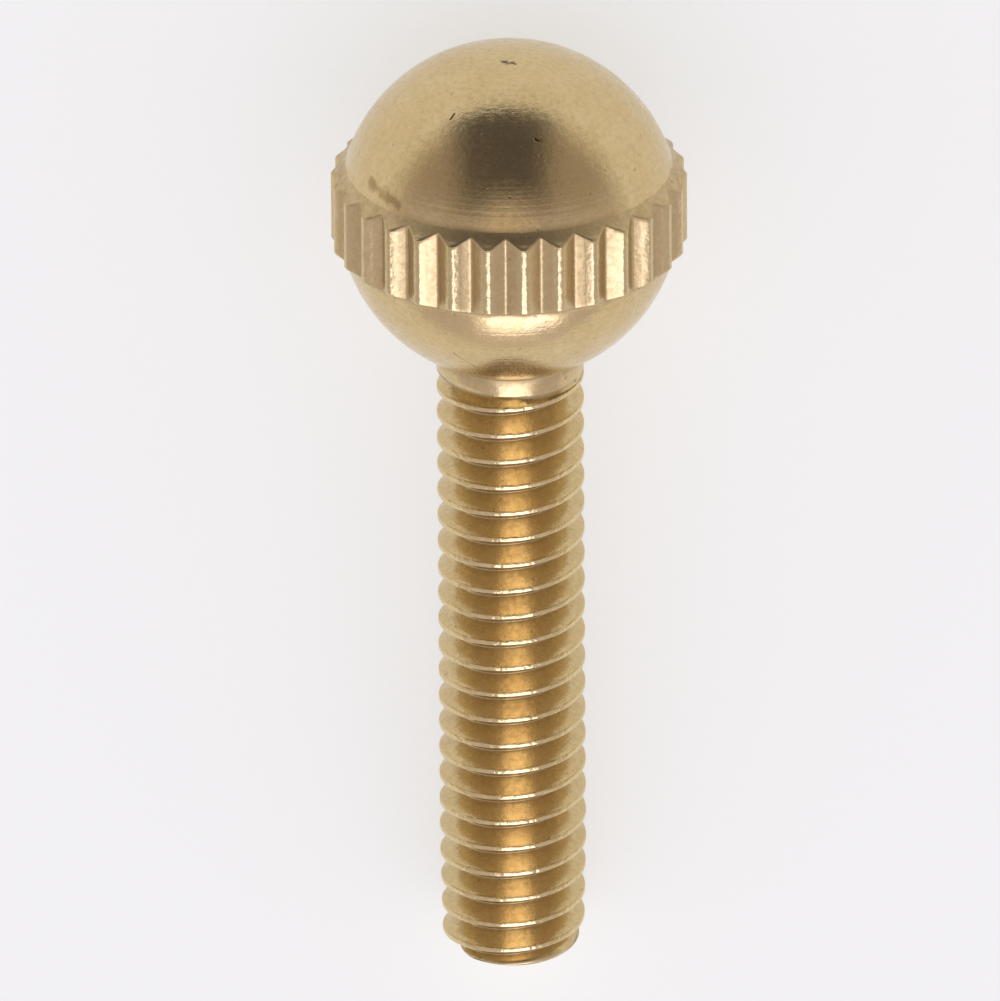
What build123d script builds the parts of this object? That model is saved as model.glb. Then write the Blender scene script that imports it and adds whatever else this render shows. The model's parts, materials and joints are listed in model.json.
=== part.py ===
from build123d import *
import math
import os

# Thumb screw, turned from one brass bar: a ball head with a knurled belt around it, a short plain
# neck and a screwed shank. It lies as it rests on a bench, on two crests of its belt and on its tip.
# Sizes are in millimetres. Heights along the screw are counted from the ball's centre, and are
# positive towards the dome.

# Ball head
ball_diameter = 9.41

# Knurled belt, whose crests stand out from the ball
belt_stand = 0.18
belt_top = 1.10
belt_bottom = -0.87
belt_bevel = 0.12
dome_edge = 1.45
cove_depth = 0.06

# Straight V flutes of the knurl
flute_count = 30
flute_depth = 0.32
flute_angle = 110
flute_floor_radius = 0.08
flute_runout = 0.05

# Shank, whose diameter is the thread's major diameter
shank_diameter = 4.06
tip_height = -22.47
tip_face_diameter = 3.28
tip_chamfer = 0.27
lead_length = 3.0
lead_taper = 0.065
neck_cove_radius = 0.25

# Radii, and the heights where one surface meets the next
ball_radius = ball_diameter / 2
belt_radius = ball_radius + belt_stand
shank_radius = shank_diameter / 2
tip_face_radius = tip_face_diameter / 2
lead_radius = shank_radius - lead_taper
lead_bottom = tip_height + tip_chamfer
lead_top = lead_bottom + lead_length
belt_foot = belt_bottom - belt_bevel
neck_top = -math.sqrt(ball_radius**2 - shank_radius**2)


def ball_radius_at(height):
    """Radius of the ball's round section at a height."""
    return math.sqrt(ball_radius**2 - height**2)


# A flute's flank, at this slope to the radius, leaves the belt at this distance from the axis,
# counted along the flute's middle
flank_slope = math.tan(math.radians(flute_angle / 2))
flute_floor = belt_radius - flute_depth
flank_reach = math.sqrt(belt_radius**2 * (1 + flank_slope**2) - (flank_slope * flute_floor) ** 2)
resting_radius = (flank_slope**2 * flute_floor + flank_reach) / (1 + flank_slope**2)

# The rest: a flute faces straight down, so the crest on each side of it carries the head, and the
# edge of the tip's lead carries the other end
lean = math.atan2(resting_radius - lead_radius, belt_bottom - lead_bottom)
along = Vector(0, math.cos(lean), math.sin(lean))
across = Vector(0, -math.sin(lean), math.cos(lean))

# The origin is under the middle of the lying screw, on the bench
head_reach = ball_radius
tip_reach = tip_face_radius * math.sin(lean) - tip_height * math.cos(lean)
ball_centre = Vector(
    0,
    (tip_reach - head_reach) / 2,
    resting_radius * math.cos(lean) - belt_bottom * math.sin(lean),
)
screw_axis = Axis(ball_centre, along)
profile_plane = Plane(origin=ball_centre, x_dir=(1, 0, 0), z_dir=across)
flute_plane = Plane(
    origin=ball_centre + along * (belt_foot - flute_runout), x_dir=(1, 0, 0), z_dir=along
)

# One flute's outline, about the point where its middle meets the crest circle, with the outside of
# the belt along X
flute_opening = 0.2
flute_half_width = (flute_depth + flute_opening) * flank_slope
flute_reach = dome_edge - belt_foot + 2 * flute_runout

with BuildSketch() as flute:
    with BuildLine():
        Polyline(
            (-flute_depth, 0),
            (flute_opening, flute_half_width),
            (flute_opening, -flute_half_width),
            close=True,
        )
    make_face()
    fillet(flute.vertices().sort_by(Axis.X)[0], radius=flute_floor_radius)

with BuildPart() as thumb_screw:
    # Turned form: half of the screw's section, spun around its axis
    with BuildSketch(profile_plane) as section:
        with BuildLine():
            Line((0, tip_height), (tip_face_radius, tip_height))
            Line((tip_face_radius, tip_height), (lead_radius, lead_bottom))
            Line((lead_radius, lead_bottom), (shank_radius, lead_top))
            Line((shank_radius, lead_top), (shank_radius, neck_top))
            RadiusArc(
                (shank_radius, neck_top),
                (ball_radius_at(belt_foot), belt_foot),
                -ball_radius,
            )
            Line((ball_radius_at(belt_foot), belt_foot), (belt_radius, belt_bottom))
            Line((belt_radius, belt_bottom), (belt_radius, belt_top))
            SagittaArc(
                (belt_radius, belt_top), (ball_radius_at(dome_edge), dome_edge), -cove_depth
            )
            RadiusArc((ball_radius_at(dome_edge), dome_edge), (0, ball_radius), -ball_radius)
            Line((0, ball_radius), (0, tip_height))
        make_face()
        neck_corner = section.vertices().sort_by_distance((shank_radius, neck_top, 0))[0]
        fillet(neck_corner, radius=neck_cove_radius)
    revolve(axis=screw_axis)

    # Knurl: V flutes pressed along the belt, open at the cove and running out on the ball
    with BuildSketch(flute_plane):
        with PolarLocations(belt_radius, flute_count, start_angle=90):
            add(flute.sketch)
    extrude(amount=flute_reach, mode=Mode.SUBTRACT)

thumb_screw.part.label = "thumb_screw"

os.makedirs("parts", exist_ok=True)
export_step(thumb_screw.part, "parts/thumb_screw.step")
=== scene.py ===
import json
import math
import bpy
import numpy as np
from mathutils import Matrix, Vector


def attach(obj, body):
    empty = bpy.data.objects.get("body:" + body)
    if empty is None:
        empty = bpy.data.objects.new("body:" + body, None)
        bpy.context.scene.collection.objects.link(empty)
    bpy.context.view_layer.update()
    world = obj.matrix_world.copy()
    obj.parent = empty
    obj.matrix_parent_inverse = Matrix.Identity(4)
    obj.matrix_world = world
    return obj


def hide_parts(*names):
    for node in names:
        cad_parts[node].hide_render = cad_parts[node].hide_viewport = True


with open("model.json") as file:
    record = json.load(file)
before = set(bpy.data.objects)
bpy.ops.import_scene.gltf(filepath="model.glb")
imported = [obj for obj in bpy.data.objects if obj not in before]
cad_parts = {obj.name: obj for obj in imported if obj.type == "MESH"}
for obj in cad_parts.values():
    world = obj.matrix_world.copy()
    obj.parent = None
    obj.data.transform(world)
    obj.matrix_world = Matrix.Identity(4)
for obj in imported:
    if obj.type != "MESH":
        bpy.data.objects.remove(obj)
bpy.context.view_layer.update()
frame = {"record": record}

MM = 0.001
TURN = 2 * math.pi

# Heights along the screw are counted from the ball's centre, positive towards the dome. Angles
# round the screw start at its top side and grow towards +X.

# Ball head, drawn a hair smaller than the solid so that it stays inside the solid's faceted box.
# The dome ends at DOME_EDGE, where the cove above the belt starts.
BALL_RADIUS = 4.700 * MM
DOME_EDGE = 1.45 * MM
COVE_DEPTH = 0.06 * MM

# Knurled belt. The bevel under it ends at BELT_FOOT, and the flutes run out on the ball at
# FLUTE_FOOT. EDGE_SOFTNESS rounds the edges of the crests, and FLUTE_ROUND the flutes' floors.
BELT_TOP = 1.10 * MM
BELT_BOTTOM = -0.87 * MM
BELT_RADIUS = 4.885 * MM
BELT_FOOT = -0.99 * MM
EDGE_SOFTNESS = 0.018 * MM
FLUTES = 30
FLUTE_DEPTH = 0.32 * MM
FLUTE_SLOPE = math.tan(math.radians(55))
FLUTE_ROUND = 0.05 * MM
FLUTE_FOOT = -1.04 * MM
FLUTE_RUNOUT = 0.03 * MM

# Neck, and the shoulder where the thread starts
SHANK_RADIUS = 2.03 * MM
SHANK_TOP = -4.45 * MM
NECK_COVE = 0.14 * MM
NECK_SHOULDER = -4.76 * MM
SHOULDER_SLOPE = 3.0

# Thread, of 32 to the inch. CREST_HALF is the crest's flat on each side of its middle, in pitches.
PITCH = 25.4 * MM / 32
CREST_AT_TOP_SIDE = -4.368 * MM
CREST_HALF = 0.078
CREST_ROUND = 0.012 * MM
ROOT_RADIUS = 0.04 * PITCH
FLANK_ANGLE = math.radians(60)
FLANK_SLOPE = math.tan(FLANK_ANGLE)

# Tip: the lead tapers a little and ends in a chamfer. The solid ends at TIP_HEIGHT, and the drawn
# face is a hair inside it, at TIP_END.
TIP_HEIGHT = -22.47 * MM
TIP_END = -22.468 * MM
TIP_FACE_RADIUS = 1.64 * MM
LEAD_TOP = -19.20 * MM
LEAD_BOTTOM = -22.20 * MM
LEAD_TAPER = 0.065 * MM

# Mesh columns round the head, in degrees from the middle of a flute's floor. They gather at the
# flutes' floors and edges over these shares of the dome, and spread again over these shares of the
# lower ball.
FLUTE_COLUMNS = (0, 0.36, 0.9, 2.9, 4.85, 5.3, 6, 6.7, 7.15, 9.1, 11.1, 11.64)
HEAD_COLUMNS = len(FLUTE_COLUMNS) * FLUTES
SHANK_COLUMNS = HEAD_COLUMNS // 2
DOME_GATHER = (0.5, 5 / 6)
LOWER_BALL_SPREAD = (0.6, 0.1)

# Mesh rows along the screw. Shares run over the surface that they divide, and the thread's rows
# are in pitches below a crest.
DOME_ROWS = 46
COVE_SHARES = (0.06, 0.25, 0.5, 0.75, 0.95)
BELT_SHARES = (0.015, 0.06, 0.2, 0.35, 0.5, 0.65, 0.8, 0.94, 0.985)
FOOT_SHARES = (0.12, 0.88)
LOWER_BALL_ROWS = 34
LOWER_BALL_START = 0.01
NECK_COVE_ROWS = 6
THREAD_ROWS = (0.05, 0.08, 0.10, 0.12, 0.45, 0.48, 0.52, 0.55, 0.63, 0.72, 0.88, 0.90, 0.92, 0.95)
FIRST_PITCH = -1
LAST_PITCH = 24
TIP_SHARES = (0.97, 0.7, 0.4, 0.12)

# Rounds that find where a column meets a flute's rounded flank
FLANK_ROUNDS = 40

# Where the screw lies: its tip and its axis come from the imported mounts
mounts = {m["name"]: m for m in frame["record"]["mounts"]}
tip_point = Vector(mounts["tip_face"]["pos_m"])
along = -Vector(mounts["tip_face"]["axis"]).normalized()
sideways = Vector((1, 0, 0))
upward = sideways.cross(along)
ball_centre = tip_point - along * TIP_HEIGHT


def even_step(value, start, stop):
    """An even step from 0 at start to 1 at stop."""
    return np.clip((value - start) / (stop - start), 0, 1)


def soft_step(value, start, stop):
    """A soft step from 0 at start to 1 at stop."""
    share = even_step(value, start, stop)
    return share * share * (3 - 2 * share)


def ball_section(height):
    """Radius of the ball's round section at a height."""
    return np.sqrt(BALL_RADIUS**2 - height**2)


DOME_EDGE_RADIUS = float(ball_section(DOME_EDGE))
BELT_FOOT_RADIUS = float(ball_section(BELT_FOOT))


def flute_form(angles):
    """The belt's radius at angles (radians) from the middle of a flute's floor."""
    floor = BELT_RADIUS - FLUTE_DEPTH
    slant = np.tan(np.abs(angles))
    reach = np.full_like(slant, floor)
    for _ in range(FLANK_ROUNDS):
        reach = floor + np.sqrt((reach * slant) ** 2 + FLUTE_ROUND**2) / FLUTE_SLOPE
    flank = reach * np.sqrt(1 + slant**2)
    return BELT_RADIUS - EDGE_SOFTNESS * np.logaddexp(0, (BELT_RADIUS - flank) / EDGE_SOFTNESS)


def cove_height(radius):
    """Height of the cove between the dome's edge and the belt's top, at a radius."""
    share = (radius - DOME_EDGE_RADIUS) / (BELT_RADIUS - DOME_EDGE_RADIUS)
    chord = DOME_EDGE + (BELT_TOP - DOME_EDGE) * share
    return chord - 4 * COVE_DEPTH * share * (1 - share)


def thread_depth(turns):
    """Depth of the thread below its crest, at a height in pitches."""
    off = np.abs(turns - np.round(turns))
    flank = FLANK_SLOPE * PITCH * (off - CREST_HALF)
    apex = FLANK_SLOPE * PITCH * (0.5 - CREST_HALF)
    from_root = (0.5 - off) * PITCH
    root = apex - 2 * ROOT_RADIUS + np.sqrt(np.maximum(ROOT_RADIUS**2 - from_root**2, 0))
    sharp = np.where(from_root < ROOT_RADIUS * math.sin(FLANK_ANGLE), root, flank)
    return CREST_ROUND * np.logaddexp(0, sharp / CREST_ROUND)


def crest_radius(height):
    """Radius of the thread's crests, which taper along the lead."""
    return SHANK_RADIUS - LEAD_TAPER * even_step(height, LEAD_TOP, LEAD_BOTTOM)


def shank_radius(angle, height):
    """Radius of the neck, the thread and the chamfered tip."""
    turns = (CREST_AT_TOP_SIDE - height) / PITCH + angle / TURN
    thread = crest_radius(height) - thread_depth(turns)
    shoulder = SHANK_RADIUS - SHOULDER_SLOPE * np.maximum(NECK_SHOULDER - height, 0)
    chamfer = TIP_FACE_RADIUS + (height - TIP_HEIGHT) * (
        (SHANK_RADIUS - LEAD_TAPER - TIP_FACE_RADIUS) / (LEAD_BOTTOM - TIP_HEIGHT)
    )
    return np.minimum(np.maximum(thread, shoulder), chamfer)


class Surface:
    """Points as (angle, radius, height) round the screw's axis, and the faces between them."""

    def __init__(self):
        self.points = []
        self.faces = []

    def ring(self, angles, radii, heights):
        start = len(self.points)
        radii = np.broadcast_to(radii, angles.shape)
        heights = np.broadcast_to(heights, angles.shape)
        self.points += list(zip(angles, radii, heights))
        return list(range(start, start + len(angles)))

    def face(self, *corners):
        """A face, without the corners that repeat the one before."""
        kept = [c for i, c in enumerate(corners) if c != corners[i - 1]]
        if len(set(kept)) >= 3:
            self.faces.append(tuple(kept))

    def join(self, above, below):
        """Faces between two rings of the same count."""
        count = len(above)
        for i in range(count):
            j = (i + 1) % count
            self.face(above[i], below[i], below[j], above[j])

    def join_halved(self, above, below):
        """Faces from a ring to one of half its count."""
        count = len(below)
        for i in range(count):
            j = (i + 1) % count
            first, middle, last = above[2 * i], above[2 * i + 1], above[(2 * i + 2) % len(above)]
            self.face(first, below[i], middle)
            self.face(middle, below[i], below[j])
            self.face(middle, below[j], last)

    def next_ring(self, above, angles, radii, heights):
        """Adds a ring and joins it to the one above it."""
        new = self.ring(angles, radii, heights)
        self.join(above, new)
        return new

    def fan(self, ring, height, up):
        """Closes a ring with a middle point."""
        self.points.append((0.0, 0.0, height))
        middle = len(self.points) - 1
        for i in range(len(ring)):
            j = (i + 1) % len(ring)
            if up:
                self.face(middle, ring[i], ring[j])
            else:
                self.face(middle, ring[j], ring[i])


def head_columns():
    """Angles of even columns and of gathered ones, and the belt's radius at the gathered ones."""
    step = TURN / FLUTES
    offsets = np.radians(np.array(FLUTE_COLUMNS))
    gathered = np.concatenate([k * step + offsets for k in range(FLUTES)])
    even = np.arange(HEAD_COLUMNS) * TURN / HEAD_COLUMNS
    from_floor = (gathered + step / 2) % step - step / 2
    return even, gathered, flute_form(from_floor)


def build_dome(surface, even, gathered):
    """Rows from the pole to the dome's edge. Returns the last ring, as the other builders do."""
    dome_angle = math.acos(DOME_EDGE / BALL_RADIUS)
    ring = None
    for i in range(1, DOME_ROWS + 1):
        share = i / DOME_ROWS
        polar = dome_angle * share
        mix = even_step(share, *DOME_GATHER)
        angles = even * (1 - mix) + gathered * mix
        radius, height = BALL_RADIUS * math.sin(polar), BALL_RADIUS * math.cos(polar)
        if ring is None:
            ring = surface.ring(angles, radius, height)
            surface.fan(ring, BALL_RADIUS, True)
        else:
            ring = surface.next_ring(ring, angles, radius, height)
    return ring


def build_belt(surface, ring, gathered, belt):
    """Cove, knurled belt and bevel. Returns the last ring and the heights of its points."""
    for share in COVE_SHARES:
        radii = DOME_EDGE_RADIUS + (belt - DOME_EDGE_RADIUS) * share
        ring = surface.next_ring(ring, gathered, radii, cove_height(radii))
    top = cove_height(belt)
    slope = (BELT_BOTTOM - BELT_FOOT) / (BELT_RADIUS - BELT_FOOT_RADIUS)
    inside = even_step(belt, BELT_FOOT_RADIUS, BELT_FOOT_RADIUS - FLUTE_RUNOUT)
    bottom = np.where(
        belt > BELT_FOOT_RADIUS,
        BELT_FOOT + (belt - BELT_FOOT_RADIUS) * slope,
        BELT_FOOT + (FLUTE_FOOT - BELT_FOOT) * inside,
    )
    for share in BELT_SHARES:
        ring = surface.next_ring(ring, gathered, belt, top + (bottom - top) * share)
    end_height = np.where(belt > BELT_FOOT_RADIUS, BELT_FOOT, bottom)
    end_radius = ball_section(end_height)
    for share in FOOT_SHARES:
        radii = belt + (end_radius - belt) * share
        heights = bottom + (end_height - bottom) * share
        ring = surface.next_ring(ring, gathered, radii, heights)
    return ring, end_height


def build_lower_ball(surface, ring, even, gathered, end_height):
    """Ball under the belt, and the cove at the neck."""
    cove_radius = SHANK_RADIUS + NECK_COVE
    cove_centre = -math.sqrt((BALL_RADIUS + NECK_COVE) ** 2 - cove_radius**2)
    start = np.arccos(end_height / BALL_RADIUS)
    stop = math.atan2(cove_radius, cove_centre)
    for i in range(LOWER_BALL_ROWS + 1):
        share = LOWER_BALL_START + (1 - LOWER_BALL_START) * i / LOWER_BALL_ROWS
        polar = start + (stop - start) * share
        mix = even_step(share, *LOWER_BALL_SPREAD)
        angles = even * (1 - mix) + gathered * mix
        radii, heights = BALL_RADIUS * np.sin(polar), BALL_RADIUS * np.cos(polar)
        ring = surface.next_ring(ring, angles, radii, heights)
    sweep = math.atan2(-cove_centre, cove_radius)
    for i in range(1, NECK_COVE_ROWS + 1):
        turn = sweep * (1 - i / NECK_COVE_ROWS)
        radius = cove_radius - NECK_COVE * math.cos(turn)
        height = cove_centre + NECK_COVE * math.sin(turn)
        ring = surface.next_ring(ring, even, radius, height)
    return ring


def build_head(surface):
    even, gathered, belt = head_columns()
    ring = build_dome(surface, even, gathered)
    ring, end_height = build_belt(surface, ring, gathered, belt)
    return build_lower_ball(surface, ring, even, gathered, end_height)


def build_shank(surface, above):
    """Neck and thread, on rows that follow the helix and stop level at both ends.

    Returns the last ring, its angles and its radii."""
    angles = np.arange(SHANK_COLUMNS) * TURN / SHANK_COLUMNS
    pitches = range(FIRST_PITCH, LAST_PITCH + 1)
    turns = np.concatenate([t + np.array(THREAD_ROWS) for t in pitches])
    heights = CREST_AT_TOP_SIDE + PITCH * (angles[:, None] / TURN - turns[None, :])
    heights = np.clip(heights, TIP_END, SHANK_TOP)
    for level in (NECK_SHOULDER, LEAD_BOTTOM):
        nearest = np.abs(heights - level).argmin(axis=1)
        heights[np.arange(SHANK_COLUMNS), nearest] = level
    radii = shank_radius(angles[:, None], heights)
    first = (heights >= SHANK_TOP).sum(axis=1) - 1
    last = len(turns) - (heights <= TIP_END).sum(axis=1)
    index = np.zeros(heights.shape, int)
    for column in range(SHANK_COLUMNS):
        for row in range(first[column], last[column] + 1):
            index[column, row] = len(surface.points)
            surface.points.append((angles[column], radii[column, row], heights[column, row]))
        index[column, : first[column]] = index[column, first[column]]
        index[column, last[column] :] = index[column, last[column]]
    for column in range(SHANK_COLUMNS):
        beside = (column + 1) % SHANK_COLUMNS
        shift = len(THREAD_ROWS) if beside == 0 else 0
        for row in range(shift, len(turns) - 1):
            left = (index[column, row], index[column, row + 1])
            right = (index[beside, row - shift], index[beside, row + 1 - shift])
            surface.face(left[0], left[1], right[1])
            surface.face(left[0], right[1], right[0])
    top = [int(index[c, first[c]]) for c in range(SHANK_COLUMNS)]
    surface.join_halved(above, top)
    return [int(index[c, last[c]]) for c in range(SHANK_COLUMNS)], angles, radii[:, -1]


def build_tip(surface, ring, angles, radii):
    for share in TIP_SHARES:
        ring = surface.next_ring(ring, angles, radii * share, TIP_END)
    surface.fan(ring, TIP_END, False)


# Dirt and painted shade, as shares of the full amount: what lies on a surface, and what is added
# in its bottom. Together they darken the thread's flanks and roots, the flutes, the cove and the
# neck under the ball.
FLANK_DIRT_AND_SHADE = 0.08
ROOT_DIRT_AND_SHADE = 0.12
BELT_DIRT_AND_SHADE = 0.16
FLUTE_DIRT_AND_SHADE = 0.12
COVE_DIRT_AND_SHADE = 0.25
NECK_DIRT_AND_SHADE = 0.4

# Where each step of dirt and painted shade, or of wear, starts and stops: on the thread in shares
# of
# THREAD_REACH below the crest, in the flutes in shares of their depth, and at the neck in metres
THREAD_REACH = 0.60 * PITCH
FLANK_STEP = (0.1, 0.3)
ROOT_STEP = (0.85, 1.0)
THREAD_WEAR_STEP = (0.02, 0.08)
FLUTE_STEP = (0.6, 1.0)
BELT_WEAR_STEP = (0.02, 0.25)
NECK_RADIUS_STEP = (SHANK_RADIUS + 0.7 * MM, SHANK_RADIUS + 0.1 * MM)
NECK_HEIGHT_STEP = (-4.5 * MM, -4.3 * MM)

# How far past an edge the belt's and the cove's dirt and painted shade reach or start
BELT_ABOVE = 0.2 * MM
BELT_BELOW = 0.01 * MM
COVE_INSIDE = 0.004 * MM


def dirt_and_shade_and_wear(radius, height):
    """Dirt with painted shade, and wear, of each point: grooves and corners are darkened as dirt
    and painted shade, and crests are rubbed.
    """
    on_thread = height < NECK_SHOULDER
    depth = (crest_radius(height) - radius) / THREAD_REACH
    flank_dirt_and_shade = FLANK_DIRT_AND_SHADE * soft_step(depth, *FLANK_STEP)
    thread_dirt_and_shade = flank_dirt_and_shade + ROOT_DIRT_AND_SHADE * soft_step(depth, *ROOT_STEP)
    thread_wear = 1 - soft_step(depth, *THREAD_WEAR_STEP)
    on_belt = (height < BELT_TOP + BELT_ABOVE) & (height > FLUTE_FOOT - BELT_BELOW)
    on_cove = (height > BELT_TOP + COVE_INSIDE) & (radius > DOME_EDGE_RADIUS + COVE_INSIDE)
    in_flute = even_step(radius, BELT_RADIUS, BELT_RADIUS - FLUTE_DEPTH)
    belt_dirt_and_shade = BELT_DIRT_AND_SHADE + FLUTE_DIRT_AND_SHADE * soft_step(in_flute, *FLUTE_STEP)
    belt_wear = 1 - soft_step(in_flute, *BELT_WEAR_STEP)
    near_neck = soft_step(radius, *NECK_RADIUS_STEP) * soft_step(height, *NECK_HEIGHT_STEP)
    neck_dirt_and_shade = NECK_DIRT_AND_SHADE * near_neck * (height < 0)
    dirt_and_shade = np.where(on_thread, thread_dirt_and_shade, neck_dirt_and_shade)
    dirt_and_shade = np.where(on_belt, belt_dirt_and_shade, dirt_and_shade)
    dirt_and_shade = np.where(on_cove, COVE_DIRT_AND_SHADE, dirt_and_shade)
    wear = np.where(on_thread, thread_wear, 0)
    wear = np.where(on_belt & ~on_cove, belt_wear, wear)
    return dirt_and_shade, wear


def make_screw():
    """The whole screw as one mesh. Its attributes carry the place in the screw, dirt with painted
    shade, and wear.
    """
    surface = Surface()
    ring = build_head(surface)
    ring, angles, radii = build_shank(surface, ring)
    build_tip(surface, ring, angles, radii)
    angle, radius, height = np.array(surface.points, float).T
    local = np.stack([radius * np.sin(angle), radius * np.cos(angle), height], axis=1)
    axes = np.array([sideways, upward, along])
    world = np.array(ball_centre) + local @ axes
    mesh = bpy.data.meshes.new("thumb_screw_turned")
    mesh.from_pydata(world.tolist(), [], surface.faces)
    mesh.update()
    mesh.polygons.foreach_set("use_smooth", [True] * len(mesh.polygons))
    place = mesh.attributes.new("screw_mm", "FLOAT_VECTOR", "POINT")
    place.data.foreach_set("vector", (local / MM).ravel())
    # The darkening in the hollows is dirt together with painted shade
    dirt_and_shade, wear = dirt_and_shade_and_wear(radius, height)
    for name, values in (("dirt_and_shade", dirt_and_shade), ("wear", wear)):
        mesh.attributes.new(name, "FLOAT", "POINT").data.foreach_set("value", values)
    screw = bpy.data.objects.new("thumb_screw_turned", mesh)
    bpy.context.collection.objects.link(screw)
    return screw


# A stroke's ragged edge: its waves in a stroke's width, how far they push it and where it fades,
# in shares of the width
STROKE_WAVES = 1.5
STROKE_RAGGED = 1.1
STROKE_FULL = 0.6
STROKE_GONE = 1.2


class Nodes:
    """Builds a node tree: values and sockets go straight to the named inputs."""

    def __init__(self, tree):
        self.tree = tree

    def add(self, kind, inputs=(), **settings):
        node = self.tree.nodes.new(kind)
        for key, value in settings.items():
            setattr(node, key, value)
        for name, value in dict(inputs).items():
            self.put(node.inputs[name], value)
        return node

    def put(self, socket, value):
        if isinstance(value, bpy.types.NodeSocket):
            self.tree.links.new(value, socket)
        else:
            socket.default_value = value

    def attribute(self, name, output):
        return self.add("ShaderNodeAttribute", attribute_name=name).outputs[output]

    def math(self, operation, first, second=0.0):
        node = self.add("ShaderNodeMath", operation=operation)
        self.put(node.inputs[0], first)
        self.put(node.inputs[1], second)
        return node.outputs[0]

    def times(self, first, second):
        return self.math("MULTIPLY", first, second)

    def vector(self, operation, first, second):
        node = self.add("ShaderNodeVectorMath", operation=operation)
        self.put(node.inputs[0], first)
        self.put(node.inputs[1], second)
        return node

    def mix(self, share, first, second):
        node = self.add("ShaderNodeMix", data_type="RGBA")
        self.put(node.inputs["Factor"], share)
        self.put(node.inputs[6], first)
        self.put(node.inputs[7], second)
        return node.outputs[2]

    def ramp(self, value, low, high, start=0.0, stop=1.0):
        """A soft step: start below low, stop above high."""
        inputs = {
            "Value": value,
            "From Min": low,
            "From Max": high,
            "To Min": start,
            "To Max": stop,
        }
        node = self.add("ShaderNodeMapRange", inputs, interpolation_type="SMOOTHSTEP")
        return node.outputs["Result"]

    def noise(self, place, scale, detail=2.0, roughness=0.5, dimensions="3D"):
        inputs = {"Vector": place, "Scale": scale, "Detail": detail, "Roughness": roughness}
        return self.add("ShaderNodeTexNoise", inputs, noise_dimensions=dimensions).outputs[0]

    def stroke(self, place, start, stop, width):
        """1 along the ragged stroke between two points, fading to 0 at about its width."""
        span = Vector(stop) - Vector(start)
        away = self.vector("SUBTRACT", place, start).outputs[0]
        share = self.vector("DOT_PRODUCT", away, span / span.length_squared).outputs["Value"]
        share = self.math("MINIMUM", self.math("MAXIMUM", share, 0), 1)
        stretch = self.add("ShaderNodeCombineXYZ", {"X": share, "Y": share, "Z": share}).outputs[0]
        reach = self.vector("MULTIPLY", stretch, span).outputs[0]
        distance = self.vector("DISTANCE", away, reach).outputs["Value"]
        ragged = self.times(self.noise(place, STROKE_WAVES / width, 1), STROKE_RAGGED * width)
        from_line = self.math("ADD", distance, ragged)
        return self.ramp(from_line, STROKE_FULL * width, STROKE_GONE * width, 1, 0)


# Marks on the ball and a painted reflection on it, in millimetres: each is a stroke between two
# points (sideways, upward, along) and its width
POLE_PIP = ((-0.14, 0.42, 4.68), (0.14, 0.50, 4.67), 0.19)
DOME_PIT = ((0.80, 2.98, 3.55), (0.90, 3.00, 3.52), 0.14)
DOME_NICK = ((-1.53, 2.28, 3.82), (-1.43, 2.16, 3.92), 0.08)
NECK_SCRATCH = ((-1.48, 3.60, -2.64), (-0.81, 3.32, -3.23), 0.045)
# A painted reflection: the brown patch on the dome's lower left, where the dome mirrors something
# brown
DOME_BROWN_REFLECTION = ((-3.72, 2.21, 1.85), (-2.97, 3.22, 1.68), 0.36)

# Brass: its two tones, and the colours that lie over them
BRASS_PALE = (0.69, 0.53, 0.28, 1)
BRASS_DEEP = (0.67, 0.50, 0.25, 1)
MOTTLE_COLOUR = (0.52, 0.41, 0.19, 1)
LINE_COLOUR = (0.60, 0.42, 0.20, 1)
SPECK_COLOUR = (0.36, 0.25, 0.12, 1)
# Colour of the painted brown reflection on the dome
BROWN_REFLECTION_COLOUR = (0.36, 0.23, 0.10, 1)
PIT_COLOUR = (0.10, 0.055, 0.035, 1)
WORN_COLOUR = (0.77, 0.62, 0.34, 1)
# Dirt together with painted shade, laid darkest in the grooves and hollows
DIRT_AND_SHADE_COLOUR = (0.25, 0.19, 0.12, 1)

# Noises: features per millimetre, detail and roughness
LINE_NOISE = (9, 2, 0.6)
PATCH_NOISE = (0.9, 2, 0.6)
MOTTLE_NOISE = (6, 2, 0.65)
SPECK_NOISE = (5, 0, 0)
CHATTER_NOISE = (5, 1, 0.6)

# How much of a colour shows. A ramp holds the noise's value at its start and stop, and then the
# share at each, which is 0 and 1 if left out.
TONE_RAMP = (0.35, 0.65)
SPECK_RAMP = (0.80, 0.86)
MOTTLE_RAMP = (0.30, 0.80, 0, 0.6)
LINE_RAMP = (0.45, 0.75, 0, 0.25)
WORN_RAMP = (0.38, 0.62, 0.2, 0.8)
DIRT_AND_SHADE_RAMP = (0.25, 0.6, 0.6, 1.0)
SPECK_SHARE = 0.4
# Share of the painted brown reflection
BROWN_REFLECTION_SHARE = 0.8
PIT_SHARE = 0.9

# Roughness, by patch, with what mottling and the dirt with painted shade add and wear takes away
PATCH_ROUGHNESS = (0.3, 0.7, 0.18, 0.24)
MOTTLE_ROUGHNESS = (0.4, 0.8, 0, 0.10)
DIRT_AND_SHADE_ROUGHNESS = 0.6
WEAR_POLISH = 0.04

# Relief: each part counts in steps of this height
BUMP_STEP = 0.004 * MM
LINE_RELIEF = 0.9
MOTTLE_RELIEF = 1.5
SPECK_RELIEF = -0.8
CHATTER_RELIEF = 7
PIT_RELIEF = -1.5


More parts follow.
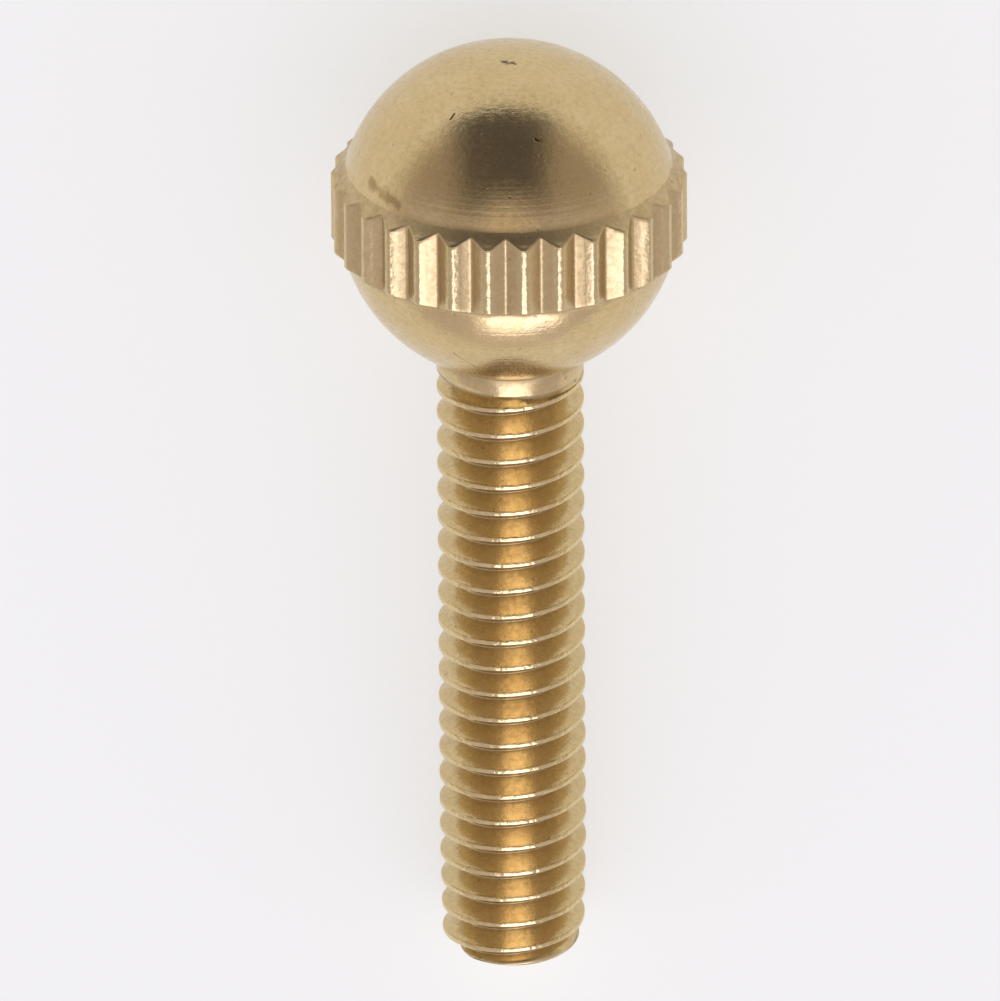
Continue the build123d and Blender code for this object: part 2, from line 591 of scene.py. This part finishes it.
def brass():
    """Turned brass, with turning lines, tarnish, pits, a painted brown reflection on the dome,
    dirt with painted shade in the grooves and worn crests.
    """
    material = bpy.data.materials.new("brass")
    material.use_nodes = True
    nodes = Nodes(material.node_tree)
    shader = material.node_tree.nodes["Principled BSDF"]
    place = nodes.attribute("screw_mm", "Vector")
    # Dirt together with painted shade, darkest in the hollows
    dirt_and_shade = nodes.attribute("dirt_and_shade", "Fac")
    wear = nodes.attribute("wear", "Fac")

    # Turning lines run round the axis, so their noise is in radius and height alone
    split = nodes.add("ShaderNodeSeparateXYZ", {"Vector": place}).outputs
    squares = [nodes.math("POWER", split[axis], 2) for axis in ("X", "Y")]
    radius = nodes.math("SQRT", nodes.math("ADD", *squares))
    round_axis = nodes.add("ShaderNodeCombineXYZ", {"X": radius, "Y": split["Z"]}).outputs[0]
    lines = nodes.noise(round_axis, *LINE_NOISE, "2D")

    patches = nodes.noise(place, *PATCH_NOISE)
    mottle = nodes.noise(place, *MOTTLE_NOISE)
    specks = nodes.ramp(nodes.noise(place, *SPECK_NOISE), *SPECK_RAMP)
    chatter = nodes.times(wear, nodes.noise(place, *CHATTER_NOISE))
    # A painted brown reflection on the lower left of the dome
    brown_reflection = nodes.stroke(place, *DOME_BROWN_REFLECTION)
    pits = nodes.stroke(place, *POLE_PIP)
    for pit in (DOME_PIT, DOME_NICK, NECK_SCRATCH):
        pits = nodes.math("MAXIMUM", pits, nodes.stroke(place, *pit))

    colour = nodes.mix(nodes.ramp(patches, *TONE_RAMP), BRASS_PALE, BRASS_DEEP)
    for share, over in (
        (nodes.ramp(mottle, *MOTTLE_RAMP), MOTTLE_COLOUR),
        (nodes.ramp(lines, *LINE_RAMP), LINE_COLOUR),
        (nodes.times(specks, SPECK_SHARE), SPECK_COLOUR),
        # Painted brown reflection on the dome
        (nodes.times(brown_reflection, BROWN_REFLECTION_SHARE), BROWN_REFLECTION_COLOUR),
        (nodes.times(pits, PIT_SHARE), PIT_COLOUR),
        (nodes.times(wear, nodes.ramp(mottle, *WORN_RAMP)), WORN_COLOUR),
        # Painted shade together with dirt in the grooves and hollows
        (nodes.times(dirt_and_shade, nodes.ramp(mottle, *DIRT_AND_SHADE_RAMP)), DIRT_AND_SHADE_COLOUR),
    ):
        colour = nodes.mix(share, colour, over)
    nodes.put(shader.inputs["Base Color"], colour)

    shader.inputs["Metallic"].default_value = 1
    rough = nodes.ramp(patches, *PATCH_ROUGHNESS)
    rough = nodes.math("ADD", rough, nodes.ramp(mottle, *MOTTLE_ROUGHNESS))
    rough = nodes.math("ADD", rough, nodes.times(dirt_and_shade, DIRT_AND_SHADE_ROUGHNESS))
    rough = nodes.math("SUBTRACT", rough, nodes.times(wear, WEAR_POLISH))
    nodes.put(shader.inputs["Roughness"], rough)

    relief = nodes.times(lines, LINE_RELIEF)
    for part, amount in (
        (mottle, MOTTLE_RELIEF),
        (specks, SPECK_RELIEF),
        (chatter, CHATTER_RELIEF),
        (pits, PIT_RELIEF),
    ):
        relief = nodes.math("ADD", relief, nodes.times(part, amount))
    bump = nodes.add("ShaderNodeBump", {"Height": relief, "Distance": BUMP_STEP, "Strength": 1.0})
    nodes.put(shader.inputs["Normal"], bump.outputs[0])
    return material


# The table. It glows for the camera and in reflections, which sets how pale it looks there.
TABLE_HALF = 6
TABLE = (0.80, 0.80, 0.80, 1)
TABLE_ROUGHNESS = 0.9
TABLE_GLOW = 0.53
TABLE_GLOW_COLOUR = (0.91, 0.955, 0.96, 1)


def make_floor():
    mesh = bpy.data.meshes.new("floor")
    side = TABLE_HALF
    corners = [(-side, -side, 0), (side, -side, 0), (side, side, 0), (-side, side, 0)]
    mesh.from_pydata(corners, [], [(0, 1, 2, 3)])
    floor = bpy.data.objects.new("floor", mesh)
    bpy.context.collection.objects.link(floor)
    material = bpy.data.materials.new("floor")
    material.use_nodes = True
    nodes = Nodes(material.node_tree)
    shader = material.node_tree.nodes["Principled BSDF"]
    shader.inputs["Base Color"].default_value = TABLE
    shader.inputs["Roughness"].default_value = TABLE_ROUGHNESS
    shader.inputs["Specular IOR Level"].default_value = 0
    shader.inputs["Emission Color"].default_value = TABLE_GLOW_COLOUR
    path = nodes.add("ShaderNodeLightPath").outputs
    seen = nodes.math("MAXIMUM", path["Is Camera Ray"], path["Is Glossy Ray"])
    nodes.put(shader.inputs["Emission Strength"], nodes.times(seen, TABLE_GLOW))
    material.cycles.emission_sampling = "NONE"
    mesh.materials.append(material)


# The room, as the dome mirrors it: grey on the tip's side, darker on the head's side (+Y) and pale
# overhead. The head's side has a dark opening in its middle, and a pale sweep low down beside it.
ROOM = (0.65, 0.60, 0.65, 1)
ROOM_SHADE = (0.42, 0.37, 0.35, 1)
SWEEP = (0.80, 0.78, 0.76, 1)
OVERHEAD = (0.76, 0.67, 0.62, 1)
ROOM_DARK = (0.11, 0.10, 0.11, 1)

# Where each of them starts and stops, along the X, Y or Z of a direction
SHADE_Y = (-0.1, 0.45)
SWEEP_Z = (0.0, 0.30)
SWEEP_Y = (-0.1, 0.2)
OVERHEAD_Z = (0.92, 1.0)
DARK_ASIDE = -0.05
DARK_HALF_X = (0.30, 0.66)
DARK_Z = (0.80, 0.96)
DARK_Y = (0.0, 0.35)


def make_room():
    world = bpy.data.worlds.new("room")
    world.use_nodes = True
    nodes = Nodes(world.node_tree)
    direction = nodes.add("ShaderNodeTexCoord").outputs["Generated"]
    split = nodes.add("ShaderNodeSeparateXYZ", {"Vector": direction}).outputs
    aside = nodes.math("ABSOLUTE", nodes.math("SUBTRACT", split["X"], DARK_ASIDE))
    headwards = split["Y"]
    raised = split["Z"]
    low = nodes.ramp(raised, *SWEEP_Z, 1, 0)
    sweep = nodes.times(low, nodes.ramp(headwards, *SWEEP_Y))
    opening = nodes.times(nodes.ramp(aside, *DARK_HALF_X, 1, 0), nodes.ramp(raised, *DARK_Z, 1, 0))
    opening = nodes.times(opening, nodes.ramp(headwards, *DARK_Y))
    colour = nodes.mix(nodes.ramp(headwards, *SHADE_Y), ROOM, ROOM_SHADE)
    colour = nodes.mix(sweep, colour, SWEEP)
    colour = nodes.mix(nodes.ramp(raised, *OVERHEAD_Z), colour, OVERHEAD)
    colour = nodes.mix(opening, colour, ROOM_DARK)
    background = world.node_tree.nodes["Background"]
    nodes.put(background.inputs["Color"], colour)
    bpy.context.scene.world = world


# The softbox, on the tip's side of the ball, SOFTBOX_OFF_VERTICAL away from straight above it
SOFTBOX_DISTANCE = 0.6
SOFTBOX_SIZE = (0.46, 0.58)
SOFTBOX_OFF_VERTICAL = math.radians(47)
SOFTBOX_ASIDE = 0.085
SOFTBOX_RADIANCE = 2.6
SOFTBOX_COLOUR = (0.74, 0.745, 0.95)


def make_softbox():
    light = bpy.data.lights.new("softbox", "AREA")
    light.shape = "RECTANGLE"
    light.size, light.size_y = SOFTBOX_SIZE
    light.color = SOFTBOX_COLOUR
    light.energy = SOFTBOX_RADIANCE * math.pi * light.size * light.size_y
    softbox = bpy.data.objects.new("softbox", light)
    bpy.context.collection.objects.link(softbox)
    off = SOFTBOX_OFF_VERTICAL
    direction = Vector((0, -math.sin(off), math.cos(off)))
    position = ball_centre + direction * SOFTBOX_DISTANCE + sideways * SOFTBOX_ASIDE
    turn = direction.to_track_quat("Z", "Y").to_matrix().to_4x4()
    softbox.matrix_world = Matrix.Translation(position) @ turn
    softbox.visible_camera = False
    softbox.visible_diffuse = False


# The camera, as fitted to the photograph. It is raised towards the head from the plane across the
# screw's axis, turned round the screw, and leans about its own line of sight.
CAMERA_DISTANCE = 0.9
CAMERA_RAISE = math.radians(26.54)
CAMERA_TURN = math.radians(1.21)
CAMERA_LEAN = math.radians(0.36)
PIXELS_PER_METRE = 36.213 / MM
IMAGE_WIDTH = 1000
IMAGE_HEIGHT = 1001
SENSOR = 36
# The pixel where the photograph shows the point of the axis at AIM_HEIGHT
AIM_X = 511.8
AIM_Y = 642.1
AIM_HEIGHT = -13.28 * MM


def make_camera():
    outward = upward * math.cos(CAMERA_TURN) + sideways * math.sin(CAMERA_TURN)
    back = along * math.sin(CAMERA_RAISE) + outward * math.cos(CAMERA_RAISE)
    target = ball_centre + along * AIM_HEIGHT
    right = along.cross(back).normalized()
    up = back.cross(right)
    lean = Matrix.Rotation(-CAMERA_LEAN, 3, back)
    right, up = lean @ right, lean @ up
    position = target + back * CAMERA_DISTANCE

    # The camera turns a little aside, so that the point lands on its pixel without a lens shift
    shift_right = (IMAGE_WIDTH / 2 - AIM_X) / PIXELS_PER_METRE
    shift_up = (AIM_Y - IMAGE_HEIGHT / 2) / PIXELS_PER_METRE
    aim = target + right * shift_right + up * shift_up
    facing = (position - aim).normalized()
    right = up.cross(facing).normalized()
    up = facing.cross(right)

    data = bpy.data.cameras.new("camera")
    data.sensor_fit = "HORIZONTAL"
    data.sensor_width = SENSOR
    data.lens = PIXELS_PER_METRE * CAMERA_DISTANCE / IMAGE_WIDTH * SENSOR
    camera = bpy.data.objects.new("camera", data)
    bpy.context.collection.objects.link(camera)
    turn = Matrix((right, up, facing)).transposed()
    camera.matrix_world = Matrix.Translation(position) @ turn.to_4x4()
    bpy.context.scene.camera = camera


make_camera()
screw = make_screw()
screw.data.materials.append(brass())
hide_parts("thumb_screw")
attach(screw, "root")
make_floor()
make_room()
make_softbox()
bpy.context.scene.view_settings.view_transform = "Standard"
